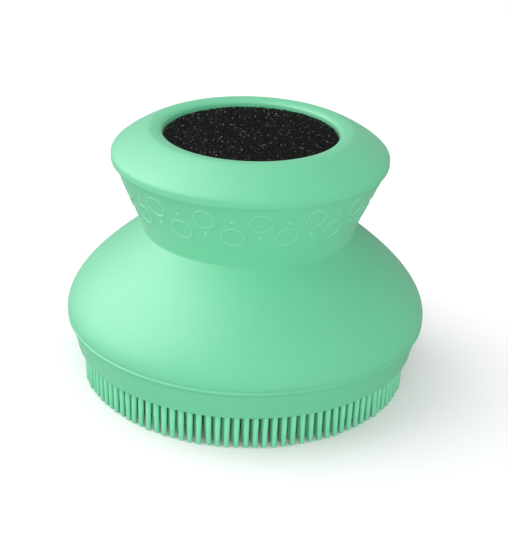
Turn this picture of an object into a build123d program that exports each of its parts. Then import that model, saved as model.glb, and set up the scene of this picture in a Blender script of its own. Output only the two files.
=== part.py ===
from build123d import *
import os
from math import atan2, cos, degrees, pi, radians, sin

# Hand-held silicone scrubber: an hourglass silicone grip over a two-part rigid core, with a
# push-on bristle pad underneath and a push-in abrasive disc on top.
# Millimetres, +Z up. The origin is the centre of the plane that the bristle tips stand on.

# ---- Heights, stacked upwards from the bristle tips ----
BRISTLE_LENGTH = 7.5      # tips to roots
BAND_HEIGHT = 6.1         # bristle roots to the seam between pad and grip
BULGE_RISE = 1.4          # seam to the widest ring of the bulb
SHOULDER_HEIGHT = 18.1    # widest ring to the waist
NECK_HEIGHT = 14.5        # waist to the crease under the flange
FLANGE_HEIGHT = 6.2       # crease to the crest of the flange
FLANGE_SIDE = 1.3         # crease to the flange's widest ring

# ---- Outside radii ----
BULB_RADIUS = 37.5
SEAM_INSET = 0.3          # bulb in to the grip's edge at the seam
BAND_STEP = 0.7           # grip's edge in to the pad at the seam
BAND_TAPER = 0.9          # pad's radius at the seam less its radius at the bristle roots
WAIST_RADIUS = 21.8
CREASE_RADIUS = 27.6
FLANGE_RADIUS = 28.1
CREST_RADIUS = 20.4
UNDERCUT = 0.4            # ledge from the neck out to the flange's edge

# ---- Outline handles: how far a curved stretch keeps its direction at an end ----
BULGE_HANDLE = 0.5
SHOULDER_HANDLE = 7.0
WAIST_HANDLE_BELOW = 1.0
WAIST_HANDLE_ABOVE = 0.8
NECK_HANDLE = 2.3
FLANGE_HANDLE = 1.3
CREST_HANDLE = 1.2
NECK_SLOPE = 63.0         # degrees from the horizontal, where the neck meets the flange

# ---- Walls ----
SKIN_WALL = 2.0
CORE_WALL = 2.0
PLATE_THICKNESS = 2.0
PAD_FLOOR = 2.0
PAD_EDGE = 0.5            # rounding where the band meets the pad's floor
PAD_BAND_WALL = 2.6       # thinnest wall of the pad's side band, at the bristle roots

# ---- Clearances ----
SEAM_GAP = 0.3            # open line between pad and grip
PUSH_CLEARANCE = 0.08     # radial, between push-fitted rigid and soft pieces
LOCATING_CLEARANCE = 0.1  # radial, between the core's own locating rings
SCREW_CLEARANCE = 0.05    # radial, thread to pilot hole
THROUGH_CLEARANCE = 0.25  # radial, shank in a through hole
DISC_GAP = 0.3            # radial, disc and tray in the silicone lip

# ---- Abrasive disc and its tray ----
DISC_RADIUS = 17.55
DISC_THICKNESS = 5.0
DISC_RECESS = 1.1         # crest of the flange down to the disc's face
DISC_EDGE = 0.5           # rounded edge
ADHESIVE_THICKNESS = 0.4
ADHESIVE_MARGIN = 0.6
TRAY_THICKNESS = 1.6
TRAY_PLUG_RADIUS = 7.0
TRAY_PLUG_WALL = 1.6
TRAY_PLUG_LENGTH = 4.9
LIP_DEPTH = 4.0           # how far the silicone lip turns down into the recess

# ---- Core joint at the waist ----
SOCKET_FLOOR = 0.6        # room under the tray's plug
WEB_THICKNESS = 2.0
SPIGOT_RADIUS = 12.0
NECK_BOSS_RADIUS = 4.5
RIB_COUNT = 6
RIB_WIDTH = 1.6

# ---- Fasteners ----
NECK_SCREW_RADIUS = 2.0
NECK_HEAD_RADIUS = 3.6
NECK_HEAD_HEIGHT = 2.2
NECK_SCREW_LENGTH = 12.0
HEX_KEY_RADIUS = 1.4
BASE_SCREW_COUNT = 4
BASE_BOSS_GAP = 1.7       # core's rim in to the screw bosses
BASE_SCREW_RADIUS = 1.45
BASE_HEAD_RADIUS = 2.75
BASE_HEAD_HEIGHT = 1.3
BASE_SCREW_LENGTH = 10.0
BASE_BOSS_RADIUS = 3.2
DRIVE_WIDTH = 0.6
DRIVE_DEPTH = 0.9

# ---- Seal between base plate and core ----
SEAL_WIDTH = 1.2
SEAL_HEIGHT = 1.0
PLUG_RIM_WALL = 3.0       # rim of the core that the seal presses on
LOCATING_RING_WALL = 1.5
LOCATING_RING_HEIGHT = 1.6

# ---- Bristles ----
BRISTLE_PITCH = 1.86      # about this much, along a ring and from ring to ring
BRISTLE_ROOT_RADIUS = 0.6
BRISTLE_TIP_RADIUS = 0.5
BRISTLE_MARGIN = 1.4      # bare rim outside the outer ring of bristles
BRISTLE_SINK = 0.4        # how far a bristle runs into the pad's floor

# ---- Raised grip pattern on the neck: two rows of small rings and dots ----
GRIP_COUNT = 15           # rings in a row, with a dot between each two
GRIP_RING_RADIUS = 2.3
GRIP_LINE_WIDTH = 0.4
GRIP_DOT_RADIUS = 0.4
GRIP_HEIGHT = 0.35
GRIP_ROW_DROPS = (3.6, 7.2)      # how far the rows' middles are below the crease
GRIP_FIRST_ANGLE = -84.7         # the upper row's first ring, in degrees from +X

# ---- Worked-out heights ----
Z_ROOT = BRISTLE_LENGTH
Z_PLATE = Z_ROOT + PAD_FLOOR
Z_CORE_FLOOR = Z_PLATE + PLATE_THICKNESS
Z_SEAM = Z_ROOT + BAND_HEIGHT
Z_BULB = Z_SEAM + BULGE_RISE
Z_WAIST = Z_BULB + SHOULDER_HEIGHT
Z_CREASE = Z_WAIST + NECK_HEIGHT
Z_CREST = Z_CREASE + FLANGE_HEIGHT
Z_DISC_TOP = Z_CREST - DISC_RECESS
Z_DISC = Z_DISC_TOP - DISC_THICKNESS
Z_ADHESIVE = Z_DISC - ADHESIVE_THICKNESS
Z_TRAY = Z_ADHESIVE - TRAY_THICKNESS
Z_PLUG = Z_TRAY - TRAY_PLUG_LENGTH
Z_WEB_TOP = Z_PLUG - SOCKET_FLOOR
Z_WEB = Z_WEB_TOP - WEB_THICKNESS
Z_LIP = Z_CREST - LIP_DEPTH

# ---- Worked-out radii ----
SEAM_RADIUS = BULB_RADIUS - SEAM_INSET
BAND_RADIUS = SEAM_RADIUS - BAND_STEP
ROOT_RADIUS = BAND_RADIUS - BAND_TAPER
LIP_RADIUS = DISC_RADIUS + DISC_GAP
LIP_RING_RADIUS = LIP_RADIUS + SKIN_WALL
PAD_BORE = ROOT_RADIUS - PAD_BAND_WALL
PLUG_RADIUS = PAD_BORE - PUSH_CLEARANCE
RIM_BORE = PLUG_RADIUS - PLUG_RIM_WALL
SEAL_RADIUS = (PLUG_RADIUS + RIM_BORE) / 2
BASE_SCREW_CIRCLE = RIM_BORE - BASE_BOSS_GAP - BASE_BOSS_RADIUS
ALL_RADIUS = 2 * BULB_RADIUS     # wider than everything, for cutting at a height


def moved_in(radius, height, direction, inset):
    """An outline point moved inwards by inset, square to the outline's direction in degrees."""
    turn = radians(direction)
    return radius - inset * sin(turn), height + inset * cos(turn)


def stretch(start, start_direction, start_handle, end, end_direction, end_handle):
    """Bezier stretch between two (radius, height) points with given directions and handles."""
    out = radians(start_direction)
    back = radians(end_direction)
    start_knob = (start[0] + start_handle * cos(out), start[1] + start_handle * sin(out))
    end_knob = (end[0] - end_handle * cos(back), end[1] - end_handle * sin(back))
    return Bezier(start, start_knob, end_knob, end)


def body_curves(inset):
    """Curves of the bulge, the shoulder and the neck, moved inwards by inset."""
    seam_direction = degrees(atan2(BULGE_RISE, BULB_RADIUS - SEAM_RADIUS))
    seam = (SEAM_RADIUS - inset, Z_SEAM)
    bulb = moved_in(BULB_RADIUS, Z_BULB, 90, inset)
    waist = moved_in(WAIST_RADIUS, Z_WAIST, 90, inset)
    crease = moved_in(CREASE_RADIUS, Z_CREASE, NECK_SLOPE, inset)
    bulge = stretch(seam, seam_direction, BULGE_HANDLE, bulb, 90, BULGE_HANDLE)
    shoulder = stretch(bulb, 90, SHOULDER_HANDLE, waist, 90, WAIST_HANDLE_BELOW)
    neck = stretch(waist, 90, WAIST_HANDLE_ABOVE, crease, NECK_SLOPE, NECK_HANDLE)
    return bulge, shoulder, neck


def turned_solid(curves):
    """Solid of revolution of outline curves that run from the bottom's edge to the axis."""
    start = curves[0] @ 0
    end = curves[-1] @ 1
    outline = Polyline(end, (0, start.Y), start)
    for curve in curves:
        outline += curve
    return revolve(Plane.XZ * make_face(outline), Axis.Z)


def bulb_and_neck(inset):
    """Solid of the bulb and the neck alone, moved inwards by inset, flat at the crease."""
    curves = body_curves(inset)
    top = curves[-1] @ 1
    return turned_solid([*curves, Line(top, (0, top.Y))])


def hourglass(inset):
    """Solid of the grip's outline, moved inwards by inset. It starts at the seam."""
    curves = body_curves(inset)
    edge = moved_in(CREASE_RADIUS + UNDERCUT, Z_CREASE, NECK_SLOPE, inset)
    widest = moved_in(FLANGE_RADIUS, Z_CREASE + FLANGE_SIDE, 90, inset)
    crest = (CREST_RADIUS, Z_CREST - inset)
    side = stretch(edge, NECK_SLOPE, UNDERCUT, widest, 90, UNDERCUT)
    top = stretch(widest, 90, FLANGE_HANDLE, crest, 180, CREST_HANDLE)
    flat = Line(crest, (0, crest[1]))
    return turned_solid([*curves, Line(curves[-1] @ 1, edge), side, top, flat])


def cylinder_between(radius, low, high, x=0.0, y=0.0):
    """Upright cylinder between two heights."""
    placed = Pos(x, y, low)
    return placed * Cylinder(radius, high - low, align=(Align.CENTER, Align.CENTER, Align.MIN))


def tube_between(outer, inner, low, high):
    """Upright tube between two heights."""
    return cylinder_between(outer, low, high) - cylinder_between(inner, low, high)


def slab(low, high):
    """Everything between two heights."""
    return cylinder_between(ALL_RADIUS, low, high)


def around(count, radius, first=0.0):
    """Evenly spaced (x, y) places on a circle."""
    places = []
    for index in range(count):
        angle = radians(first + 360 * index / count)
        places.append((radius * cos(angle), radius * sin(angle)))
    return places


def grip_pattern():
    """Raised rings and dots of the two grip rows, each standing square on the neck."""
    step = 360 / GRIP_COUNT
    bottom = (Align.CENTER, Align.CENTER, Align.MIN)
    depth = SKIN_WALL / 2
    ring = Cylinder(GRIP_RING_RADIUS, depth + GRIP_HEIGHT, align=bottom)
    ring -= Cylinder(GRIP_RING_RADIUS - GRIP_LINE_WIDTH, depth + GRIP_HEIGHT, align=bottom)
    dot = Cylinder(GRIP_DOT_RADIUS, depth + GRIP_HEIGHT, align=bottom)
    neck = body_curves(0)[2]
    studs = []
    for row, drop in enumerate(GRIP_ROW_DROPS):
        height = Z_CREASE - drop
        place = neck.intersect(Line((0, height), (BULB_RADIUS, height))).vertices()[0]
        run = neck.tangent_at(neck.param_at_point(place))
        lean = degrees(atan2(run.X, run.Y))
        stand = Pos(place.X, 0, place.Y) * Rot(0, 90 + lean, 0) * Pos(0, 0, -depth)
        for index in range(GRIP_COUNT):
            angle = GRIP_FIRST_ANGLE + step * (index + row / 2)
            studs.append(Rot(0, 0, angle) * stand * ring)
            studs.append(Rot(0, 0, angle + step / 2) * stand * dot)
    return studs


def grip_skin():
    """Silicone skin: bulb, neck and flange, with a lip that turns down into the recess."""
    skin = hourglass(0) - hourglass(SKIN_WALL)
    skin += tube_between(LIP_RING_RADIUS, LIP_RADIUS, Z_LIP, Z_CREST - SKIN_WALL / 2)
    skin -= cylinder_between(LIP_RADIUS, Z_LIP, Z_CREST)
    skin &= slab(Z_SEAM, Z_CREST)
    mouth_edges = skin.edges().filter_by(GeomType.CIRCLE).group_by(Axis.Z)[-1]
    skin = fillet(mouth_edges.sort_by(SortBy.RADIUS)[0], SKIN_WALL * 0.45)
    return skin.fuse(*grip_pattern())


def upper_core():
    """Rigid spool in the neck and flange, with the recess and socket for the tray."""
    outer = hourglass(SKIN_WALL) & slab(Z_WAIST, Z_CREST)
    cup_floor = Z_TRAY - CORE_WALL
    core = outer - (bulb_and_neck(SKIN_WALL + CORE_WALL) & slab(Z_WAIST, cup_floor))
    core += outer & slab(Z_WEB, Z_WEB_TOP)
    core += cylinder_between(TRAY_PLUG_RADIUS + CORE_WALL, Z_WEB, Z_TRAY)
    ribs = Part()
    for index in range(RIB_COUNT):
        rib = Box(ALL_RADIUS, RIB_WIDTH, Z_TRAY - Z_WEB, align=(Align.MIN, Align.CENTER, Align.MIN))
        ribs += Rot(0, 0, 360 * index / RIB_COUNT) * Pos(0, 0, Z_WEB) * rib
    core += ribs & outer
    ring_radius = SPIGOT_RADIUS + LOCATING_CLEARANCE
    core += tube_between(ring_radius + CORE_WALL, ring_radius, Z_WAIST, Z_WEB)
    core -= cylinder_between(LIP_RADIUS, Z_TRAY, Z_CREST)
    core -= cylinder_between(LIP_RING_RADIUS, Z_LIP, Z_CREST)
    core -= cylinder_between(TRAY_PLUG_RADIUS + PUSH_CLEARANCE, Z_WEB_TOP, Z_TRAY)
    core -= cylinder_between(NECK_SCREW_RADIUS + THROUGH_CLEARANCE, Z_WEB, Z_WEB_TOP)
    return core


def lower_core():
    """Rigid dome in the bulb: rim, ledge, screw bosses, roof and the spigot at the waist."""
    outer = bulb_and_neck(SKIN_WALL)
    core = (outer - bulb_and_neck(SKIN_WALL + CORE_WALL)) & slab(Z_SEAM, Z_WAIST)
    core += outer & slab(Z_WAIST - CORE_WALL, Z_WAIST)
    core += (outer & slab(Z_SEAM, Z_SEAM + CORE_WALL)) - cylinder_between(RIM_BORE, Z_SEAM, Z_WAIST)
    core += tube_between(PLUG_RADIUS, RIM_BORE, Z_CORE_FLOOR, Z_SEAM + CORE_WALL)
    core += cylinder_between(SPIGOT_RADIUS, Z_WAIST - CORE_WALL, Z_WEB)
    screw_end = Z_WEB_TOP - NECK_SCREW_LENGTH
    core += cylinder_between(NECK_BOSS_RADIUS, screw_end - CORE_WALL, Z_WEB)
    bosses = Part()
    for x, y in around(BASE_SCREW_COUNT, BASE_SCREW_CIRCLE, 45):
        bosses += cylinder_between(BASE_BOSS_RADIUS, Z_CORE_FLOOR, Z_WAIST, x, y)
    core += bosses & bulb_and_neck(SKIN_WALL + CORE_WALL / 2)
    pilot_end = Z_PLATE + BASE_SCREW_LENGTH + CORE_WALL
    for x, y in around(BASE_SCREW_COUNT, BASE_SCREW_CIRCLE, 45):
        core -= cylinder_between(BASE_SCREW_RADIUS + SCREW_CLEARANCE, Z_CORE_FLOOR, pilot_end, x, y)
    core -= cylinder_between(NECK_SCREW_RADIUS + SCREW_CLEARANCE, screw_end, Z_WEB)
    return core


def neck_screw():
    """Socket screw that draws the two halves of the core together."""
    head = cylinder_between(NECK_HEAD_RADIUS, Z_WEB_TOP, Z_WEB_TOP + NECK_HEAD_HEIGHT)
    head = chamfer(head.edges().group_by(Axis.Z)[-1], 0.3)
    shank_low = Z_WEB_TOP - NECK_SCREW_LENGTH + CORE_WALL / 2
    screw = head + cylinder_between(NECK_SCREW_RADIUS, shank_low, Z_WEB_TOP)
    key_low = Z_WEB_TOP + NECK_HEAD_HEIGHT / 3
    key = Pos(0, 0, key_low) * extrude(RegularPolygon(HEX_KEY_RADIUS, 6), NECK_HEAD_HEIGHT)
    return screw - key


def base_plate():
    """Plate that closes the core, with a locating ring, a seal groove and screw holes."""
    plate = cylinder_between(PLUG_RADIUS, Z_PLATE, Z_CORE_FLOOR)
    ring_outer = RIM_BORE - LOCATING_CLEARANCE
    ring_inner = ring_outer - LOCATING_RING_WALL
    plate += tube_between(ring_outer, ring_inner, Z_CORE_FLOOR, Z_CORE_FLOOR + LOCATING_RING_HEIGHT)
    groove_outer = SEAL_RADIUS + SEAL_WIDTH / 2
    groove_inner = SEAL_RADIUS - SEAL_WIDTH / 2
    plate -= tube_between(groove_outer, groove_inner, Z_CORE_FLOOR - SEAL_HEIGHT, Z_CORE_FLOOR)
    for x, y in around(BASE_SCREW_COUNT, BASE_SCREW_CIRCLE, 45):
        plate -= cylinder_between(BASE_SCREW_RADIUS + THROUGH_CLEARANCE, Z_PLATE, Z_CORE_FLOOR, x, y)
        plate -= countersunk_head(x, y, SCREW_CLEARANCE)
    return plate


def countersunk_head(x, y, clearance):
    """Cone of a countersunk head whose flat lies in the plate's underside."""
    cone = Cone(BASE_HEAD_RADIUS + clearance, BASE_SCREW_RADIUS + clearance, BASE_HEAD_HEIGHT,
                align=(Align.CENTER, Align.CENTER, Align.MIN))
    return Pos(x, y, Z_PLATE) * cone


def base_screws():
    """Countersunk self-tapping screws that hold the base plate."""
    screws = []
    for x, y in around(BASE_SCREW_COUNT, BASE_SCREW_CIRCLE, 45):
        screw = countersunk_head(x, y, 0)
        screw += cylinder_between(BASE_SCREW_RADIUS, Z_PLATE, Z_PLATE + BASE_SCREW_LENGTH, x, y)
        slot = Box(2 * BASE_SCREW_RADIUS, DRIVE_WIDTH, DRIVE_DEPTH)
        screw -= Pos(x, y, Z_PLATE) * slot
        screw -= Pos(x, y, Z_PLATE) * Rot(0, 0, 90) * slot
        screws.append(screw)
    return Compound(children=[screw.solids()[0] for screw in screws])


def seal_ring():
    """Rubber ring pressed between the base plate's groove and the core's rim."""
    ring = tube_between(SEAL_RADIUS + SEAL_WIDTH / 2, SEAL_RADIUS - SEAL_WIDTH / 2,
                        Z_CORE_FLOOR - SEAL_HEIGHT, Z_CORE_FLOOR)
    return ring


def bristle_places():
    """Bristle centres: rings from the rim inwards, each turned half a pitch from the last."""
    places = [(0.0, 0.0)]
    rim = ROOT_RADIUS - BRISTLE_ROOT_RADIUS - BRISTLE_MARGIN
    rows = round(rim / BRISTLE_PITCH)
    for row in range(rows):
        radius = rim * (rows - row) / rows
        count = round(2 * pi * radius / BRISTLE_PITCH)
        places.extend(around(count, radius, 180 / count * (row % 2)))
    return places


def bristle_pad():
    """Silicone cup that pushes over the plate, with its bristles, all one moulding."""
    root = (ROOT_RADIUS, Z_ROOT)
    rim = (BAND_RADIUS, Z_SEAM - SEAM_GAP)
    lean = degrees(atan2(BAND_HEIGHT, BAND_RADIUS - ROOT_RADIUS))
    band = stretch(root, lean, BAND_HEIGHT / 3, rim, 90, BAND_HEIGHT / 3)
    pad = turned_solid([band, Line(rim, (0, rim[1]))])
    pad = fillet(pad.edges().group_by(Axis.Z)[0], PAD_EDGE)
    pad -= cylinder_between(PAD_BORE, Z_PLATE, Z_SEAM)
    bristle = Cone(BRISTLE_TIP_RADIUS, BRISTLE_ROOT_RADIUS, BRISTLE_LENGTH + BRISTLE_SINK,
                   align=(Align.CENTER, Align.CENTER, Align.MIN))
    bristles = [Pos(x, y, 0) * bristle for x, y in bristle_places()]
    return pad.fuse(*bristles)


def stone_tray():
    """Rigid tray that carries the disc, with a hollow plug that pushes into the core."""
    tray = cylinder_between(DISC_RADIUS, Z_TRAY, Z_ADHESIVE)
    plug_bore = TRAY_PLUG_RADIUS - TRAY_PLUG_WALL
    tray += tube_between(TRAY_PLUG_RADIUS, plug_bore, Z_PLUG, Z_TRAY)
    return tray


def disc_adhesive():
    """Adhesive sheet between tray and disc."""
    return cylinder_between(DISC_RADIUS - ADHESIVE_MARGIN, Z_ADHESIVE, Z_DISC)


def abrasive_disc():
    """Abrasive stone disc with a softened upper edge."""
    disc = cylinder_between(DISC_RADIUS, Z_DISC, Z_DISC_TOP)
    return fillet(disc.edges().group_by(Axis.Z)[-1], DISC_EDGE)


NODES = {
    "grip_skin": grip_skin,
    "upper_core": upper_core,
    "lower_core": lower_core,
    "neck_screw": neck_screw,
    "base_plate": base_plate,
    "base_screws": base_screws,
    "seal_ring": seal_ring,
    "bristle_pad": bristle_pad,
    "stone_tray": stone_tray,
    "disc_adhesive": disc_adhesive,
    "abrasive_disc": abrasive_disc,
}

os.makedirs("parts", exist_ok=True)
for node, make in NODES.items():
    shape = make()
    box = shape.bounding_box()
    export_step(shape, f"parts/{node}.step")
    print(f"{node}: {len(shape.solids())} solid(s), {shape.volume:.1f} mm3, "
          f"z {box.min.Z:.2f} to {box.max.Z:.2f}")
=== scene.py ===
from math import atan2, cos, hypot, pi, radians, sin

import bmesh
import bpy
from bpy.props import FloatProperty, FloatVectorProperty, IntProperty, PointerProperty
from mathutils import Matrix, Vector, geometry, noise


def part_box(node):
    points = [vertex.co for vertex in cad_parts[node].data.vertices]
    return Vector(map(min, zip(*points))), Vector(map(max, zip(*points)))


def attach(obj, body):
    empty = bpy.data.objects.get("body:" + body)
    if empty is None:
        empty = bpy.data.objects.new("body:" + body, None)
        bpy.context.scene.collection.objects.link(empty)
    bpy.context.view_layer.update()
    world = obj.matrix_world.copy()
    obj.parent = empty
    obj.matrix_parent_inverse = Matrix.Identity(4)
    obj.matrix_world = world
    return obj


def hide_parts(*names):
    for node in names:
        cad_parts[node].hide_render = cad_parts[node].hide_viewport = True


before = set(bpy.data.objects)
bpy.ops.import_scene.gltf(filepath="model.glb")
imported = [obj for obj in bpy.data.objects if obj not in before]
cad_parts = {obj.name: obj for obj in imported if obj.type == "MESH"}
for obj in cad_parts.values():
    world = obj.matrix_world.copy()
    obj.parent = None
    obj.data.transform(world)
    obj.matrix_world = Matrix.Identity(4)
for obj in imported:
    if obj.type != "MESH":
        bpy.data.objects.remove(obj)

bl_info = {
    "name": "Silicone scrubber",
    "version": (1, 0, 0),
    "blender": (4, 5, 0),
    "location": "3D View > Sidebar > Scrubber",
    "description": "Builds the silicone grip, the bristle pad and the abrasive disc of a hand scrubber",
    "category": "Object",
}

MM = 0.001
UP = Vector((0, 0, 1))

# The space that the packed model gives each piece.
GRIP_LOW, GRIP_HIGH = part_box("grip_skin")
PAD_LOW, PAD_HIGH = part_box("bristle_pad")
DISC_LOW, DISC_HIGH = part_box("abrasive_disc")
PLATE_LOW, PLATE_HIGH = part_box("base_plate")

# Handle lengths of the curved stretches of the grip's outline.
SHOULDER_HANDLE = 7.0 * MM
WAIST_HANDLE_BELOW = 1.0 * MM
WAIST_HANDLE_ABOVE = 0.8 * MM
NECK_HANDLE = 2.3 * MM
FLANGE_HANDLE = 1.3 * MM
CREST_HANDLE = 1.2 * MM
LIP_HANDLE = 1.7 * MM
LIP_END_HANDLE = 0.5 * MM
NOTCH_HANDLE = 0.1 * MM
BULGE_HANDLE = 0.3 * MM

# Crest down to where the lip turns beside the disc, and how far the notch over the seam stands out.
LIP_DROP = 0.9 * MM
NOTCH_STEP = 0.04 * MM

# Rounding and easing of the pad's upper edge.
RIM_ROUNDING = 0.25 * MM
RIM_EASE = 0.3 * MM

# A bristle's slight taper along each half, and the width left at its tip, as shares of its radius.
BRISTLE_TAPER = 0.97
BRISTLE_TIP = 0.7

# How bristles stray: scales and shares of a slow drift and a quick jitter, and how the lean grows.
DRIFT_SCALE, DRIFT_SHARE = 300, 0.9
JITTER_SCALE, JITTER_SHARE = 2100, 1.1
STRAY_SEED = 3.7
LEAN_POWER = 1.4

# Vector noise differs from run to run unless it has a seed.
NOISE_SEED = 7

# The disc's worn edge: width and depth of its rounding, the ring under it and the most worn side.
EDGE_WIDTH = 0.5 * MM
EDGE_ROUNDING = 0.3 * MM
SKIRT_DROP = 0.8 * MM
WORN_SIDE = radians(40)

# Where the soft lights stand, how wide they are and the point that they face, in metres.
KEY_PLACE = (-0.7, 0.1, 0.55)
KEY_SIZE = 1.2
FRONT_PLACE = (0.15, -0.85, 0.3)
FRONT_SIZE = 0.9
LIGHT_TARGET = (0, 0, 0.03)


# ---- Sizes and colours that a user would change ----

def length(name, description, millimetres):
    """A length property with its default in millimetres."""
    return FloatProperty(name=name, description=description, default=millimetres * MM,
                         unit="LENGTH", precision=5)


def colour(name, description, value):
    """A linear colour property."""
    return FloatVectorProperty(name=name, description=description, default=value,
                               subtype="COLOR", size=3, min=0, max=1)


class ScrubberGripSizes(bpy.types.PropertyGroup):
    """Outline of the silicone grip."""

    bulge_rise: length("Bulge rise", "Seam up to the widest ring", 1.4)
    shoulder_rise: length("Shoulder rise", "Widest ring up to the waist", 18.1)
    neck_rise: length("Neck rise", "Waist up to the crease under the flange", 14.5)
    seam_inset: length("Seam inset", "Seam's radius under the widest radius", 0.3)
    waist_radius: length("Waist radius", "Narrowest radius", 21.8)
    crease_radius: length("Crease radius", "Neck radius under the flange", 27.6)
    undercut: length("Undercut", "Ledge from the neck out to the flange's edge", 0.4)
    flange_radius: length("Flange radius", "Widest radius of the flange", 28.1)
    flange_side: length("Flange side", "Crease up to the flange's widest ring", 1.3)
    crest_radius: length("Crest radius", "Radius of the flange's highest ring", 20.4)
    neck_slope: FloatProperty(name="Neck slope", description="Neck's slope under the flange",
                              default=radians(63), subtype="ANGLE")
    lip_gap: length("Lip gap", "Open ring between the disc and the lip", 0.3)
    lip_depth: length("Lip depth", "How far the lip turns down beside the disc", 4.0)
    wall: length("Wall", "Thickness of the silicone", 1.95)
    bead_radius: length("Bead radius", "Roundness of the rolled edge at the seam", 0.4)
    bead: length("Bead", "How far the rolled edge at the seam stands out", 0.28)
    steps: IntProperty(name="Steps", description="Faces round the grip", default=288, min=32)


class ScrubberPatternSizes(bpy.types.PropertyGroup):
    """Raised rings and dots on the neck."""

    count: IntProperty(name="Count", description="Rings in one row", default=15, min=3)
    ring_radius: length("Ring radius", "Middle of a ring's line", 2.15)
    line_width: length("Line width", "Width of a ring's line", 0.36)
    lift: length("Lift", "How far the pattern stands out", 0.17)
    dot_radius: length("Dot radius", "Radius of a dot", 0.42)
    first_angle: FloatProperty(name="First angle", description="First upper ring, from +X",
                               default=radians(-84.7), subtype="ANGLE")
    upper_drop: length("Upper row", "Crease down to the middle of the upper row", 3.6)
    lower_drop: length("Lower row", "Crease down to the middle of the lower row", 7.2)


class ScrubberPadSizes(bpy.types.PropertyGroup):
    """Bristle pad and its bristles."""

    bristle_length: length("Bristle length", "Tip to root", 7.5)
    root_radius: length("Root radius", "Radius of the pad at the bristle roots", 35.6)
    corner: length("Corner", "Rounding between the floor and the side band", 0.5)
    clearance: length("Clearance", "Pad's bore outside the plate", 0.08)
    rim: length("Rim", "Edge of the pad to the middle of the outer ring of bristles", 2.0)
    pitch: length("Pitch", "Bristle to bristle, along a ring and from ring to ring", 1.86)
    thick: length("Root thickness", "Bristle's radius above the mould step", 0.6)
    thin: length("Tip thickness", "Bristle's radius below the mould step", 0.54)
    step_share: FloatProperty(name="Step", description="Place of the mould step along a bristle",
                              default=0.5, subtype="FACTOR")
    lean: length("Lean", "How far a tip strays from its root", 0.25)


class ScrubberDiscSizes(bpy.types.PropertyGroup):
    """Abrasive disc."""

    cell: length("Cell", "Spacing of the points that shape the grain", 0.19)
    grain: length("Grain", "Width of one grain", 0.62)
    depth: length("Depth", "Depth of the open pores", 0.42)
    ragged: length("Ragged edge", "How far the edge has crumbled", 0.35)


class ScrubberColours(bpy.types.PropertyGroup):
    """Base colours of the finishes."""

    silicone: colour("Silicone", "Mint silicone", (0.085, 0.47, 0.245))
    silicone_deep: colour("Silicone clouding", "Deeper tone in the silicone", (0.077, 0.453, 0.233))
    # Paler than the grip's silicone: painted light for the light that shines through thin bristles.
    bristle: colour("Bristles", "Thin silicone that lets light through", (0.135, 0.6, 0.335))
    # Paler than the grip's silicone: a painted highlight where light catches the raised lines.
    raised: colour("Raised lines", "Paler silicone of the raised lines", (0.125, 0.53, 0.3))
    stone: colour("Stone", "Black grain", (0.005, 0.0055, 0.0045))
    # Pale speck colour painted into the stone as glints.
    painted_glint: colour("Speck", "Pale mineral specks", (0.26, 0.27, 0.255))
    core: colour("Core", "Natural plastic of the core", (0.72, 0.76, 0.73))
    tray: colour("Tray", "Black plastic of the tray", (0.03, 0.03, 0.032))
    steel: colour("Steel", "Stainless screws", (0.62, 0.62, 0.63))
    floor: colour("Floor", "Pale floor", (0.74, 0.74, 0.74))


class ScrubberStage(bpy.types.PropertyGroup):
    """Camera and light."""

    distance: length("Distance", "Camera to the point that it goes round", 269.7)
    aim_height: length("Aim height", "Height of the point that the camera goes round", 30.0)
    elevation: FloatProperty(name="Elevation", description="Camera's angle above the horizon",
                             default=radians(23.78), subtype="ANGLE")
    down: FloatProperty(name="Down", description="Extra downward aim",
                        default=radians(1.517), subtype="ANGLE")
    side: FloatProperty(name="Side", description="Extra aim to the right",
                        default=radians(0.36), subtype="ANGLE")
    roll: FloatProperty(name="Roll", description="Camera's roll",
                        default=radians(2.05), subtype="ANGLE")
    lens: FloatProperty(name="Lens", description="Focal length in millimetres on a 36 mm sensor",
                        default=86.09, min=10)
    key: FloatProperty(name="Key", description="Power of the soft light on the left, in watts",
                       default=9.5, min=0)
    front: FloatProperty(name="Front", description="Power of the soft light in front, in watts",
                         default=8.0, min=0)
    fill: FloatProperty(name="Fill", description="Brightness of the white surroundings",
                        default=0.89, min=0)
    glow: FloatProperty(name="Glow", description="Brightness that the white floor adds itself",
                        default=0.03, min=0)


GROUPS = {
    "scrubber_grip": ScrubberGripSizes,
    "scrubber_pattern": ScrubberPatternSizes,
    "scrubber_pad": ScrubberPadSizes,
    "scrubber_disc": ScrubberDiscSizes,
    "scrubber_colours": ScrubberColours,
    "scrubber_stage": ScrubberStage,
}


# ---- Mesh helpers ----

def curve_points(start, start_handle, end_handle, end, count):
    """Points of a Bezier stretch of an outline, each (radius, height)."""
    knots = [Vector((p[0], p[1], 0)) for p in (start, start_handle, end_handle, end)]
    points = geometry.interpolate_bezier(*knots, count)
    return [(p.x, p.y) for p in points]


def arc_points(centre, radius, first, last, count):
    """Points of a circular stretch of an outline, between two angles in degrees."""
    points = []
    for index in range(count):
        angle = radians(first + (last - first) * index / (count - 1))
        points.append((centre[0] + radius * cos(angle), centre[1] + radius * sin(angle)))
    return points


def add_outline(bm, points, closed):
    """Chain of edges through (radius, height) points in the XZ plane."""
    verts = [bm.verts.new((radius, 0, height)) for radius, height in points]
    for index in range(len(verts) - 1):
        bm.edges.new((verts[index], verts[index + 1]))
    if closed:
        bm.edges.new((verts[-1], verts[0]))


def turn_outline(bm, steps):
    """Spins everything in the mesh once round Z and closes it."""
    geom = bm.verts[:] + bm.edges[:]
    bmesh.ops.spin(bm, geom=geom, axis=UP, cent=(0, 0, 0), angle=2 * pi, steps=steps, use_merge=True)
    bmesh.ops.remove_doubles(bm, verts=bm.verts[:], dist=1e-7)
    bmesh.ops.recalc_face_normals(bm, faces=bm.faces[:])


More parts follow.
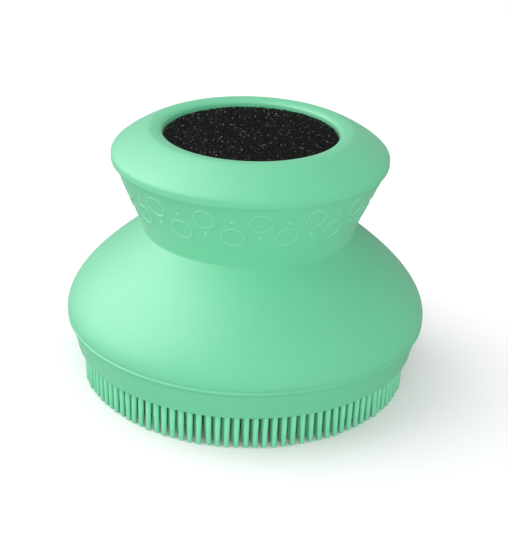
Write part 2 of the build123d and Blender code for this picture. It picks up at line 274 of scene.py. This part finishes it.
def finished_piece(name, bm, material, body, sharp_angle):
    """Makes the mesh a smooth-shaded object that rides on its body."""
    mesh = bpy.data.meshes.new(name)
    bm.to_mesh(mesh)
    bm.free()
    mesh.materials.append(material)
    mesh.shade_smooth()
    mesh.set_sharp_from_angle(angle=radians(sharp_angle))
    piece = bpy.data.objects.new(name, mesh)
    bpy.context.scene.collection.objects.link(piece)
    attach(piece, body)
    return piece


# ---- Outlines ----

def moved_in(radius, height, direction, inset):
    """An outline point moved inwards by inset, square to the outline's direction."""
    return radius - inset * sin(direction), height + inset * cos(direction)


def stretch(start, start_direction, start_handle, end, end_direction, end_handle, count):
    """Points of a Bezier stretch with a given direction and handle length at each end."""
    start_knob = (start[0] + start_handle * cos(start_direction),
                  start[1] + start_handle * sin(start_direction))
    end_knob = (end[0] - end_handle * cos(end_direction),
                end[1] - end_handle * sin(end_direction))
    return curve_points(start, start_knob, end_knob, end, count)


def neck_curve(sizes, inset, count):
    """The neck's outline from the waist up to the crease, moved inwards by inset."""
    waist_height = GRIP_LOW.z + sizes.bulge_rise + sizes.shoulder_rise
    slope = sizes.neck_slope
    waist = moved_in(sizes.waist_radius, waist_height, pi / 2, inset)
    crease = moved_in(sizes.crease_radius, waist_height + sizes.neck_rise, slope, inset)
    return stretch(waist, pi / 2, WAIST_HANDLE_ABOVE, crease, slope, NECK_HANDLE, count)


def bulb_curve(sizes, inset, count):
    """The bulb's outline from the widest ring up to the waist, moved inwards by inset."""
    bulb_height = GRIP_LOW.z + sizes.bulge_rise
    bulb = moved_in(GRIP_HIGH.x, bulb_height, pi / 2, inset)
    waist = moved_in(sizes.waist_radius, bulb_height + sizes.shoulder_rise, pi / 2, inset)
    return stretch(bulb, pi / 2, SHOULDER_HANDLE, waist, pi / 2, WAIST_HANDLE_BELOW, count)


def flange_curve(sizes, inset, count):
    """The flange's outline from its lower edge up to the crest, moved inwards by inset."""
    crease_height = GRIP_LOW.z + sizes.bulge_rise + sizes.shoulder_rise + sizes.neck_rise
    slope = sizes.neck_slope
    edge = moved_in(sizes.crease_radius + sizes.undercut, crease_height, slope, inset)
    widest = moved_in(sizes.flange_radius, crease_height + sizes.flange_side, pi / 2, inset)
    crest = moved_in(sizes.crest_radius, GRIP_HIGH.z, pi, inset)
    side = stretch(edge, slope, sizes.undercut, widest, pi / 2, sizes.undercut, count // 3)
    return side + stretch(widest, pi / 2, FLANGE_HANDLE, crest, pi, CREST_HANDLE, count)[1:]


def seam_curve(sizes):
    """The rolled edge at the seam and the short rise above it, up to the widest ring."""
    seam = GRIP_LOW.z
    radius = GRIP_HIGH.x - sizes.seam_inset
    roll = sizes.bead_radius
    points = [(radius - roll * 0.8, seam)]
    points += arc_points((radius - roll + sizes.bead, seam + roll), roll, -70, 45, 10)
    notch = (radius + NOTCH_STEP, seam + 2.15 * roll)
    widest = (GRIP_HIGH.x, seam + sizes.bulge_rise)
    points += stretch(notch, pi / 2, NOTCH_HANDLE, widest, pi / 2, BULGE_HANDLE, 6)
    return points


def grip_outline(sizes):
    """Closed outline of the skin: out and up over the bulb, neck and flange, back inside."""
    wall = sizes.wall
    outer = seam_curve(sizes) + bulb_curve(sizes, 0, 48)[1:] + neck_curve(sizes, 0, 28)[1:]
    outer += flange_curve(sizes, 0, 30)
    crest = outer[-1]
    lip = DISC_HIGH.x + sizes.lip_gap
    outer += stretch(crest, pi, LIP_HANDLE, (lip, crest[1] - LIP_DROP), -pi / 2, LIP_END_HANDLE,
                     14)[1:]
    bottom = crest[1] - sizes.lip_depth
    inner = [(lip, bottom), (lip + wall, bottom), (lip + wall, crest[1] - wall)]
    inner += reversed(flange_curve(sizes, wall, 12)[:-1])
    inner += reversed(bulb_curve(sizes, wall, 24)[:-1] + neck_curve(sizes, wall, 12)[:-1])
    inner.append((GRIP_HIGH.x - sizes.seam_inset - wall, GRIP_LOW.z))
    return outer + inner


def make_grip(context):
    """Silicone skin as one closed shell."""
    sizes = context.scene.scrubber_grip
    bm = bmesh.new()
    add_outline(bm, grip_outline(sizes), closed=True)
    turn_outline(bm, sizes.steps)
    skin = finished_piece("grip_skin_silicone", bm, silicone(context), "grip", 60)
    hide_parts("grip_skin")


# ---- Grip pattern ----

def lay_on_neck(bm, sizes, drop):
    """Wraps flat geometry (x along the neck, y up it, z out of it) onto the neck."""
    samples = neck_curve(sizes, 0, 200)
    run = [0.0]
    for before, after in zip(samples, samples[1:]):
        run.append(run[-1] + hypot(after[0] - before[0], after[1] - before[1]))
    level = samples[-1][1] - drop
    nearest = min(range(len(samples)), key=lambda index: abs(samples[index][1] - level))
    for vert in bm.verts:
        along = min(max(run[nearest] + vert.co.y, 0), run[-1] * 0.999)
        index = max(i for i, value in enumerate(run) if value <= along)
        low, high = samples[index], samples[index + 1]
        part = (along - run[index]) / (run[index + 1] - run[index])
        slope = Vector((high[0] - low[0], high[1] - low[1])).normalized()
        radius = low[0] + part * (high[0] - low[0]) + vert.co.z * slope.y
        height = low[1] + part * (high[1] - low[1]) - vert.co.z * slope.x
        angle = vert.co.x / samples[nearest][0]
        vert.co = (radius * cos(angle), radius * sin(angle), height)


def raised_ring(pattern):
    """One raised ring, lying flat: a low rounded line round a circle."""
    bm = bmesh.new()
    upright = Matrix.Translation((pattern.ring_radius, 0, 0)) @ Matrix.Rotation(pi / 2, 4, "X")
    upright = upright @ Matrix.Diagonal((pattern.line_width / 2, pattern.lift, 1, 1))
    bmesh.ops.create_circle(bm, segments=10, radius=1, matrix=upright)
    turn_outline(bm, 44)
    return bm


def raised_dot(pattern):
    """One raised dot, lying flat."""
    bm = bmesh.new()
    flat = Matrix.Diagonal((pattern.dot_radius, pattern.dot_radius, pattern.lift * 1.2, 1))
    bmesh.ops.create_uvsphere(bm, u_segments=16, v_segments=8, radius=1, matrix=flat)
    return bm


def make_pattern(context):
    """Two rows of raised rings with dots between them."""
    grip = context.scene.scrubber_grip
    pattern = context.scene.scrubber_pattern
    whole = bmesh.new()
    step = 2 * pi / pattern.count
    for row, drop in enumerate((pattern.upper_drop, pattern.lower_drop)):
        first = pattern.first_angle + row * step / 2
        for make, angle in ((raised_ring, first), (raised_dot, first + step / 2)):
            shape = make(pattern)
            lay_on_neck(shape, grip, drop)
            bmesh.ops.rotate(shape, verts=shape.verts[:], matrix=Matrix.Rotation(angle, 3, "Z"))
            bmesh.ops.spin(shape, geom=shape.verts[:] + shape.edges[:] + shape.faces[:], axis=UP,
                           cent=(0, 0, 0), angle=2 * pi - step, steps=pattern.count - 1,
                           use_duplicate=True)
            bmesh.ops.recalc_face_normals(shape, faces=shape.faces[:])
            part = bpy.data.meshes.new("pattern_part")
            shape.to_mesh(part)
            shape.free()
            whole.from_mesh(part)
            bpy.data.meshes.remove(part)
    # The raised rings and dots get the paler colour, which is a painted highlight where light catches
    # them.
    raised = context.scene.scrubber_colours.raised
    line_highlight_material = silicone(context, "pale_silicone", (raised, [0.96 * c for c in raised]))
    finished_piece("grip_pattern", whole, line_highlight_material, "grip", 80)


# ---- Bristle pad ----

def pad_outline(context):
    """Outline of the pad's cup from axis to axis: underside, side band, bore and floor."""
    pad = context.scene.scrubber_pad
    root = PAD_LOW.z + pad.bristle_length
    rim = PAD_HIGH.z
    bore = PLATE_HIGH.x + pad.clearance
    corner = pad.corner
    points = [(0, root), (pad.root_radius - 2 * corner, root)]
    points += arc_points((pad.root_radius - corner, root + corner), corner, -85, -8, 8)
    band = (rim - root) / 3
    start = (pad.root_radius + 0.05 * MM, root + 1.3 * corner)
    end = (PAD_HIGH.x, rim - RIM_EASE)
    lean = atan2(rim - root, PAD_HIGH.x - pad.root_radius)
    points += stretch(start, lean, band, end, pi / 2, band, 12)
    turn = (end[0] - RIM_ROUNDING, rim - RIM_ROUNDING)
    points += arc_points(turn, RIM_ROUNDING, 10, 90, 5)
    points += [(bore + RIM_EASE, rim), (bore, rim - RIM_EASE), (bore, PLATE_LOW.z), (0, PLATE_LOW.z)]
    return points


def make_pad(context):
    """Pad's cup, without its bristles."""
    bm = bmesh.new()
    add_outline(bm, pad_outline(context), closed=False)
    turn_outline(bm, context.scene.scrubber_grip.steps)
    cup = finished_piece("bristle_pad_cup", bm, silicone(context), "bristle_cup", 50)
    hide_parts("bristle_pad")


def one_bristle(pad, radius, sides, detailed):
    """A bristle hanging from the pad's floor at a radius, with its tip at the bottom."""
    bm = bmesh.new()
    root = PAD_LOW.z + pad.bristle_length
    step = root - pad.step_share * pad.bristle_length
    tip = PAD_LOW.z
    levels = [(root + 0.3 * MM, pad.thick), (step + 0.12 * MM, pad.thick * BRISTLE_TAPER),
              (step - 0.1 * MM, pad.thin), (tip + 0.2 * MM, pad.thin * BRISTLE_TAPER),
              (tip, pad.thin * BRISTLE_TIP)]
    if not detailed:
        levels = [levels[0], levels[3], levels[4]]
    place = Matrix.Translation((radius, 0, levels[0][0]))
    bmesh.ops.create_circle(bm, segments=sides, radius=levels[0][1], matrix=place)
    edges = bm.edges[:]
    for (above, wide), (height, width) in zip(levels, levels[1:]):
        grown = bmesh.ops.extrude_edge_only(bm, edges=edges)["geom"]
        verts = [g for g in grown if isinstance(g, bmesh.types.BMVert)]
        edges = [g for g in grown if isinstance(g, bmesh.types.BMEdge)]
        bmesh.ops.translate(bm, verts=verts, vec=(0, 0, height - above))
        ratio = width / wide
        centre = Matrix.Translation((-radius, 0, 0))
        bmesh.ops.scale(bm, verts=verts, vec=(ratio, ratio, 1), space=centre)
    bmesh.ops.contextual_create(bm, geom=edges)
    bmesh.ops.recalc_face_normals(bm, faces=bm.faces[:])
    return bm


def stray(pad, place, seed):
    """How far one bristle's tip leans, along X and Y."""
    drift = noise.noise_vector(place * DRIFT_SCALE + Vector((seed, 0, 0)))
    jitter = noise.noise_vector(place * JITTER_SCALE + Vector((0, seed, 0)))
    return (drift * DRIFT_SHARE + jitter * JITTER_SHARE) * pad.lean


def bristle_ring(pad, radius, turn, sides, detailed):
    """One ring of bristles, each leaning its own way."""
    count = max(round(2 * pi * radius / pad.pitch), 1)
    bm = one_bristle(pad, radius, sides, detailed)
    size = len(bm.verts)
    bmesh.ops.rotate(bm, verts=bm.verts[:], matrix=Matrix.Rotation(turn * pi / count, 3, "Z"))
    if count > 1:
        step = 2 * pi / count
        bmesh.ops.spin(bm, geom=bm.verts[:] + bm.edges[:] + bm.faces[:], axis=UP, cent=(0, 0, 0),
                       angle=2 * pi - step, steps=count - 1, use_duplicate=True)
    bm.verts.ensure_lookup_table()
    root = PAD_LOW.z + pad.bristle_length
    for first in range(0, len(bm.verts), size):
        verts = bm.verts[first:first + size]
        place = sum((v.co for v in verts), Vector()) / size
        lean = stray(pad, place, STRAY_SEED)
        for vert in verts:
            share = min(max((root - vert.co.z) / pad.bristle_length, 0), 1)
            vert.co.x += lean.x * share ** LEAN_POWER
            vert.co.y += lean.y * share ** LEAN_POWER
    return bm


def make_bristles(context):
    """Rings of bristles from the rim inwards. The outer rings, which show, have the mould step."""
    noise.seed_set(NOISE_SEED)
    pad = context.scene.scrubber_pad
    rim = pad.root_radius - pad.rim
    rows = round(rim / pad.pitch)
    sets = {"bristles_outer": (range(0, 4), 12, True), "bristles_inner": (range(4, rows + 1), 8, False)}
    # The bristles get the paler colour, which is painted light for the light that shines through thin
    # silicone.
    thin = context.scene.scrubber_colours.bristle
    lit_bristle_material = silicone(context, "bristle_silicone", (thin, [0.95 * c for c in thin]))
    for name, (ring_range, sides, detailed) in sets.items():
        whole = bmesh.new()
        for row in ring_range:
            ring = bristle_ring(pad, rim * (rows - row) / rows, row % 2, sides, detailed)
            part = bpy.data.meshes.new("bristle_part")
            ring.to_mesh(part)
            ring.free()
            whole.from_mesh(part)
            bpy.data.meshes.remove(part)
        piece = finished_piece(name, whole, lit_bristle_material, "bristle_cup", 50)
        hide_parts("bristle_pad")


# ---- Abrasive disc ----

def grain_height(place, disc):
    """Height of the open grain at a place: rounded grains with pores between them."""
    cells = noise.voronoi(place / disc.grain, distance_metric="DISTANCE")[0]
    pores = min(max((cells[1] - cells[0]) * 1.6, 0), 1)
    rough = noise.fractal(place / disc.grain * 1.9, 0.7, 2.1, 3)
    broad = noise.noise(place / disc.grain * 0.16)
    return disc.depth * (0.62 * pores + 0.22 * rough + 0.16 * broad - 0.5)


def crumble(angle, disc):
    """How far the rim has crumbled at an angle. It is worst behind on the right."""
    ring = Vector((cos(angle), sin(angle), 0.0))
    fine = noise.fractal(ring * 24, 0.8, 2.2, 4)
    worn = max(cos(angle - WORN_SIDE), 0) ** 2
    return disc.ragged * (0.25 + 0.9 * worn) * (0.5 + 0.9 * fine)


def make_disc(context):
    """Coarse stone disc: a fine grid cut to a ragged circle, roughened, with a skirt below."""
    disc = context.scene.scrubber_disc
    radius = DISC_HIGH.x
    top = DISC_HIGH.z
    cells = int(2 * radius / disc.cell)
    bm = bmesh.new()
    bmesh.ops.create_grid(bm, x_segments=cells, y_segments=cells, size=radius)
    outside = [v for v in bm.verts if v.co.length > radius - disc.cell * 0.8]
    bmesh.ops.delete(bm, geom=outside, context="VERTS")
    rim_edges = [e for e in bm.edges if e.is_boundary]
    rim_verts = {v for e in rim_edges for v in e.verts}
    for vert in rim_verts:
        angle = Vector((1, 0)).angle_signed(vert.co.xy.normalized(), 0)
        edge = radius - max(crumble(-angle, disc), 0)
        vert.co.xy = vert.co.xy.normalized() * edge
    for vert in bm.verts:
        inwards = (radius - vert.co.length) / EDGE_WIDTH
        rounding = EDGE_ROUNDING * max(1 - inwards, 0) ** 2
        vert.co.z = top + min(grain_height(vert.co.copy(), disc), 0) - rounding
    for _ in range(2):
        grown = bmesh.ops.extrude_edge_only(bm, edges=rim_edges)["geom"]
        verts = [g for g in grown if isinstance(g, bmesh.types.BMVert)]
        rim_edges = [g for g in grown if isinstance(g, bmesh.types.BMEdge)]
        bmesh.ops.translate(bm, verts=verts, vec=(0, 0, -SKIRT_DROP))
    for vert in verts:
        vert.co.z = DISC_LOW.z
    bmesh.ops.contextual_create(bm, geom=rim_edges)
    bmesh.ops.recalc_face_normals(bm, faces=bm.faces[:])
    stone = finished_piece("abrasive_stone", bm, black_stone(context),
                           "disc_insert", 180)
    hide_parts("abrasive_disc")


# ---- Materials ----

def new_material(name):
    """An empty node material, with its nodes, its links and its shader."""
    material = bpy.data.materials.new(name)
    material.use_nodes = True
    nodes = material.node_tree.nodes
    shader = nodes["Principled BSDF"]
    return material, nodes, material.node_tree.links, shader


def object_place(nodes):
    """The object coordinates of a material or group."""
    return nodes.new("ShaderNodeTexCoord").outputs["Object"]


def noise_node(nodes, links, place, scale, detail, roughness):
    """A noise texture on a place."""
    texture = nodes.new("ShaderNodeTexNoise")
    texture.inputs["Scale"].default_value = scale
    texture.inputs["Detail"].default_value = detail
    texture.inputs["Roughness"].default_value = roughness
    links.new(place, texture.inputs["Vector"])
    return texture


def ramp_node(nodes, links, value, low, high, bottom=0.0, top=1.0):
    """A smooth map of value from low..high to bottom..top."""
    node = nodes.new("ShaderNodeMapRange")
    node.interpolation_type = "SMOOTHSTEP"
    node.inputs["From Min"].default_value = low
    node.inputs["From Max"].default_value = high
    node.inputs["To Min"].default_value = bottom
    node.inputs["To Max"].default_value = top
    links.new(value, node.inputs["Value"])
    return node.outputs["Result"]


def math_node(nodes, links, operation, first, second):
    """A maths node on a socket and a socket or number."""
    node = nodes.new("ShaderNodeMath")
    node.operation = operation
    links.new(first, node.inputs[0])
    if isinstance(second, (int, float)):
        node.inputs[1].default_value = second
    else:
        links.new(second, node.inputs[1])
    return node.outputs["Value"]


def mix_node(nodes, links, share, first, second):
    """A colour mix by a share socket. first and second are sockets or colours."""
    node = nodes.new("ShaderNodeMix")
    node.data_type = "RGBA"
    links.new(share, node.inputs["Factor"])
    for socket, value in ((node.inputs["A"], first), (node.inputs["B"], second)):
        colour_socket = next(s for s in node.inputs if s.name == socket.name and s.type == "RGBA")
        if isinstance(value, bpy.types.NodeSocket):
            links.new(value, colour_socket)
        else:
            colour_socket.default_value = (*value[:3], 1)
    return next(s for s in node.outputs if s.type == "RGBA")


def bump_node(nodes, links, height, distance, strength=1.0):
    """A bump node that reads a height."""
    node = nodes.new("ShaderNodeBump")
    node.inputs["Distance"].default_value = distance
    node.inputs["Strength"].default_value = strength
    links.new(height, node.inputs["Height"])
    return node.outputs["Normal"]


def surface_group():
    """Node group for a moulded surface: clouding, dust, fine grain and a matching roughness."""
    name = "moulded_surface"
    if name in bpy.data.node_groups:
        return bpy.data.node_groups[name]
    group = bpy.data.node_groups.new(name, "ShaderNodeTree")
    face = group.interface
    for label, kind in (("Vector", "NodeSocketVector"), ("Color", "NodeSocketColor"),
                        ("Clouded Color", "NodeSocketColor"), ("Dust Color", "NodeSocketColor"),
                        ("Dust", "NodeSocketFloat"), ("Roughness", "NodeSocketFloat"),
                        ("Grain Scale", "NodeSocketFloat")):
        face.new_socket(label, in_out="INPUT", socket_type=kind)
    for label, kind in (("Color", "NodeSocketColor"), ("Roughness", "NodeSocketFloat"),
                        ("Height", "NodeSocketFloat")):
        face.new_socket(label, in_out="OUTPUT", socket_type=kind)
    nodes, links = group.nodes, group.links
    given = nodes.new("NodeGroupInput").outputs
    result = nodes.new("NodeGroupOutput").inputs
    cloud = noise_node(nodes, links, given["Vector"], 38, 4, 0.55).outputs["Fac"]
    clouded = mix_node(nodes, links, ramp_node(nodes, links, cloud, 0.35, 0.68),
                       given["Color"], given["Clouded Color"])
    spots = noise_node(nodes, links, given["Vector"], 1500, 2, 0.6).outputs["Fac"]
    patches = noise_node(nodes, links, given["Vector"], 70, 2, 0.5).outputs["Fac"]
    dust = math_node(nodes, links, "MULTIPLY", ramp_node(nodes, links, spots, 0.66, 0.74),
                     ramp_node(nodes, links, patches, 0.5, 0.66))
    dust = math_node(nodes, links, "MULTIPLY", dust, given["Dust"])
    links.new(mix_node(nodes, links, dust, clouded, given["Dust Color"]), result["Color"])
    wear = math_node(nodes, links, "MULTIPLY", cloud, 0.12)
    rough = math_node(nodes, links, "ADD", given["Roughness"], wear)
    links.new(rough, result["Roughness"])
    grain = nodes.new("ShaderNodeTexNoise")
    grain.inputs["Detail"].default_value = 4
    grain.inputs["Roughness"].default_value = 0.6
    links.new(given["Vector"], grain.inputs["Vector"])
    links.new(given["Grain Scale"], grain.inputs["Scale"])
    links.new(grain.outputs["Fac"], result["Height"])
    return group


def moulded(name, colours, dust_colour, dust, roughness, grain_scale, grain_depth):
    """A material on the moulded surface group, and its shader, or None if it was made before."""
    if name in bpy.data.materials:
        return bpy.data.materials[name], None
    material, nodes, links, shader = new_material(name)
    surface = nodes.new("ShaderNodeGroup")
    surface.node_tree = surface_group()
    links.new(object_place(nodes), surface.inputs["Vector"])
    surface.inputs["Color"].default_value = (*colours[0], 1)
    surface.inputs["Clouded Color"].default_value = (*colours[1], 1)
    surface.inputs["Dust Color"].default_value = (*dust_colour, 1)
    surface.inputs["Dust"].default_value = dust
    surface.inputs["Roughness"].default_value = roughness
    surface.inputs["Grain Scale"].default_value = grain_scale
    links.new(surface.outputs["Color"], shader.inputs["Base Color"])
    links.new(surface.outputs["Roughness"], shader.inputs["Roughness"])
    normal = bump_node(nodes, links, surface.outputs["Height"], grain_depth)
    links.new(normal, shader.inputs["Normal"])
    return material, shader


def silicone(context, name="mint_silicone", tones=None):
    """Satin mint silicone with a little light under its surface."""
    colours = context.scene.scrubber_colours
    tones = tones or (colours.silicone, colours.silicone_deep)
    material, shader = moulded(name, tones, (0.3, 0.66, 0.48), 0.25, 0.5, 5200, 0.02 * MM)
    if shader:
        shader.inputs["Subsurface Weight"].default_value = 0.12
        shader.inputs["Subsurface Radius"].default_value = (0.4, 1.0, 0.7)
        shader.inputs["Subsurface Scale"].default_value = 1.2 * MM
        shader.inputs["IOR"].default_value = 1.8
        shader.inputs["Specular IOR Level"].default_value = 1.0
        shader.inputs["Sheen Weight"].default_value = 0.12
        shader.inputs["Sheen Roughness"].default_value = 0.5
    return material


def black_stone(context):
    """Coarse black stone: dark pores, dull grains and scattered pale specks painted in as glints."""
    colours = context.scene.scrubber_colours
    name = "black_stone"
    if name in bpy.data.materials:
        return bpy.data.materials[name]
    material, nodes, links, shader = new_material(name)
    place = object_place(nodes)
    tone = noise_node(nodes, links, place, 1500, 5, 0.65).outputs["Fac"]
    grain = mix_node(nodes, links, ramp_node(nodes, links, tone, 0.45, 0.8),
                     colours.stone, [3.2 * c for c in colours.stone])
    # The pale specks mixed into the base colour are painted glints.
    cells = nodes.new("ShaderNodeTexVoronoi")
    cells.inputs["Scale"].default_value = 2300
    links.new(place, cells.inputs["Vector"])
    chosen = ramp_node(nodes, links, cells.outputs["Color"], 0.66, 0.95)
    near = ramp_node(nodes, links, cells.outputs["Distance"], 0.42, 0.16)
    painted_glint = math_node(nodes, links, "MULTIPLY", chosen, near)
    links.new(mix_node(nodes, links, painted_glint, grain, colours.painted_glint), shader.inputs["Base Color"])
    links.new(ramp_node(nodes, links, tone, 0.3, 0.75, 0.62, 0.34), shader.inputs["Roughness"])
    fine = noise_node(nodes, links, place, 3600, 4, 0.7).outputs["Fac"]
    links.new(bump_node(nodes, links, fine, 0.12 * MM), shader.inputs["Normal"])
    shader.inputs["Specular IOR Level"].default_value = 0.2
    return material


def plastic(context, name, base, roughness):
    """Moulded plastic of the inner pieces."""
    deeper = [0.9 * c for c in base]
    return moulded(name, (base, deeper), (0.8, 0.8, 0.78), 0.3, roughness, 2600, 0.015 * MM)[0]


def steel(context):
    """Turned stainless steel."""
    colours = context.scene.scrubber_colours
    name = "screw_steel"
    base = colours.steel
    deeper = [0.8 * c for c in base]
    material, shader = moulded(name, (base, deeper), base, 0, 0.24, 4000, 0.008 * MM)
    if shader:
        shader.inputs["Metallic"].default_value = 1.0
    return material


def dress_inner_nodes(context):
    """Gives every inner node of the packed model its finish."""
    colours = context.scene.scrubber_colours
    core = plastic(context, "core_plastic", colours.core, 0.38)
    tray = plastic(context, "tray_plastic", colours.tray, 0.4)
    seal = plastic(context, "seal_rubber", (0.02, 0.02, 0.02), 0.55)
    glue = plastic(context, "adhesive_sheet", (0.66, 0.6, 0.42), 0.3)
    finishes = {
        "upper_core": core, "lower_core": core, "base_plate": core, "stone_tray": tray,
        "seal_ring": seal, "disc_adhesive": glue, "neck_screw": steel(context),
        "base_screws": steel(context),
    }
    for node, material in finishes.items():
        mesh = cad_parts[node].data
        mesh.materials.clear()
        mesh.materials.append(material)


# ---- Stage ----

def pale_floor(context):
    """Pale floor with a trace of mottling."""
    material, nodes, links, shader = new_material("pale_floor")
    colours = context.scene.scrubber_colours
    tone = noise_node(nodes, links, object_place(nodes), 3.0, 2, 0.4).outputs["Fac"]
    shade = mix_node(nodes, links, ramp_node(nodes, links, tone, 0.3, 0.7),
                     colours.floor, [0.985 * c for c in colours.floor])
    links.new(shade, shader.inputs["Base Color"])
    shader.inputs["Roughness"].default_value = 0.9
    shader.inputs["Specular IOR Level"].default_value = 0.1
    shader.inputs["Emission Color"].default_value = (1, 1, 1, 1)
    shader.inputs["Emission Strength"].default_value = context.scene.scrubber_stage.glow
    return material


def make_floor(context):
    """Wide flat floor."""
    bm = bmesh.new()
    bmesh.ops.create_grid(bm, x_segments=2, y_segments=2, size=3.0)
    mesh = bpy.data.meshes.new("studio_floor")
    bm.to_mesh(mesh)
    bm.free()
    mesh.materials.append(pale_floor(context))
    floor = bpy.data.objects.new("studio_floor", mesh)
    floor.visible_glossy = False
    bpy.context.scene.collection.objects.link(floor)


def soft_light(name, place, size, power, reflected):
    """Square area light that faces the object. Glossy surfaces show it only if reflected is set."""
    data = bpy.data.lights.new(name, "AREA")
    data.energy = power
    data.size = size
    lamp = bpy.data.objects.new(name, data)
    lamp.location = place
    lamp.rotation_mode = "QUATERNION"
    lamp.rotation_quaternion = (Vector(place) - Vector(LIGHT_TARGET)).to_track_quat("Z", "Y")
    lamp.visible_glossy = reflected
    bpy.context.scene.collection.objects.link(lamp)


def make_lights(context):
    """White surroundings, a broad key on the left and a soft light in front."""
    stage = context.scene.scrubber_stage
    world = bpy.data.worlds.new("studio_world")
    world.use_nodes = True
    background = world.node_tree.nodes["Background"]
    background.inputs["Color"].default_value = (1, 1, 1, 1)
    background.inputs["Strength"].default_value = stage.fill
    context.scene.world = world
    world.cycles_visibility.glossy = False
    soft_light("key_left", KEY_PLACE, KEY_SIZE, stage.key, reflected=True)
    soft_light("front", FRONT_PLACE, FRONT_SIZE, stage.front, reflected=False)
    context.scene.view_settings.view_transform = "Standard"


def make_camera(context):
    """Camera at the set elevation, aimed a little below and beside the point that it goes round."""
    stage = context.scene.scrubber_stage
    data = bpy.data.cameras.new("studio_camera")
    data.lens = stage.lens
    data.sensor_width = 36
    data.clip_start = 0.01
    camera = bpy.data.objects.new("studio_camera", data)
    middle = Vector((0, 0, stage.aim_height))
    back = Vector((0, -cos(stage.elevation), sin(stage.elevation)))
    camera.location = middle + back * stage.distance
    tilt = Matrix.Rotation(pi / 2 - stage.elevation - stage.down, 4, "X")
    swing = Matrix.Rotation(-stage.side, 4, "Z")
    camera.rotation_mode = "QUATERNION"
    turned = swing @ tilt @ Matrix.Rotation(stage.roll, 4, "Z")
    camera.rotation_quaternion = turned.to_quaternion()
    context.scene.collection.objects.link(camera)
    context.scene.camera = camera


# ---- Operators, panel and registration ----

class SCRUBBER_OT_grip(bpy.types.Operator):
    """Build the silicone grip"""

    bl_idname = "scrubber.grip"
    bl_label = "Silicone grip"

    def execute(self, context):
        make_grip(context)
        return {"FINISHED"}


class SCRUBBER_OT_pattern(bpy.types.Operator):
    """Build the raised rings and dots on the neck"""

    bl_idname = "scrubber.pattern"
    bl_label = "Grip pattern"

    def execute(self, context):
        make_pattern(context)
        return {"FINISHED"}


class SCRUBBER_OT_pad(bpy.types.Operator):
    """Build the bristle pad's cup"""

    bl_idname = "scrubber.pad"
    bl_label = "Bristle pad"

    def execute(self, context):
        make_pad(context)
        return {"FINISHED"}


class SCRUBBER_OT_bristles(bpy.types.Operator):
    """Build the rings of bristles"""

    bl_idname = "scrubber.bristles"
    bl_label = "Bristles"

    def execute(self, context):
        make_bristles(context)
        return {"FINISHED"}


class SCRUBBER_OT_disc(bpy.types.Operator):
    """Build the coarse abrasive disc"""

    bl_idname = "scrubber.disc"
    bl_label = "Abrasive disc"

    def execute(self, context):
        make_disc(context)
        return {"FINISHED"}


class SCRUBBER_OT_inner_finishes(bpy.types.Operator):
    """Give the inner pieces their finishes"""

    bl_idname = "scrubber.inner_finishes"
    bl_label = "Inner finishes"

    def execute(self, context):
        dress_inner_nodes(context)
        return {"FINISHED"}


class SCRUBBER_OT_stage(bpy.types.Operator):
    """Build the floor, the lights and the camera"""

    bl_idname = "scrubber.stage"
    bl_label = "Stage"

    def execute(self, context):
        make_floor(context)
        make_lights(context)
        make_camera(context)
        return {"FINISHED"}


OPERATORS = (
    SCRUBBER_OT_grip, SCRUBBER_OT_pattern, SCRUBBER_OT_pad, SCRUBBER_OT_bristles,
    SCRUBBER_OT_disc, SCRUBBER_OT_inner_finishes, SCRUBBER_OT_stage,
)


class SCRUBBER_PT_panel(bpy.types.Panel):
    """Lists the operators and the sizes that they use"""

    bl_label = "Scrubber"
    bl_idname = "SCRUBBER_PT_panel"
    bl_space_type = "VIEW_3D"
    bl_region_type = "UI"
    bl_category = "Scrubber"

    def draw(self, context):
        for operator in OPERATORS:
            self.layout.operator(operator.bl_idname)
        for name, group in GROUPS.items():
            box = self.layout.box()
            box.label(text=group.__doc__)
            for prop in group.__annotations__:
                box.prop(getattr(context.scene, name), prop)


def register():
    for group in GROUPS.values():
        bpy.utils.register_class(group)
    for name, group in GROUPS.items():
        setattr(bpy.types.Scene, name, PointerProperty(type=group))
    for operator in OPERATORS:
        bpy.utils.register_class(operator)
    bpy.utils.register_class(SCRUBBER_PT_panel)


def unregister():
    bpy.utils.unregister_class(SCRUBBER_PT_panel)
    for operator in reversed(OPERATORS):
        bpy.utils.unregister_class(operator)
    for name, group in reversed(GROUPS.items()):
        delattr(bpy.types.Scene, name)
        bpy.utils.unregister_class(group)


def main():
    """Builds everything in order."""
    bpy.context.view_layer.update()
    register()
    bpy.ops.scrubber.grip()
    bpy.ops.scrubber.pattern()
    bpy.ops.scrubber.pad()
    bpy.ops.scrubber.bristles()
    bpy.ops.scrubber.disc()
    bpy.ops.scrubber.inner_finishes()
    bpy.ops.scrubber.stage()


if __name__ == "__main__":
    main()
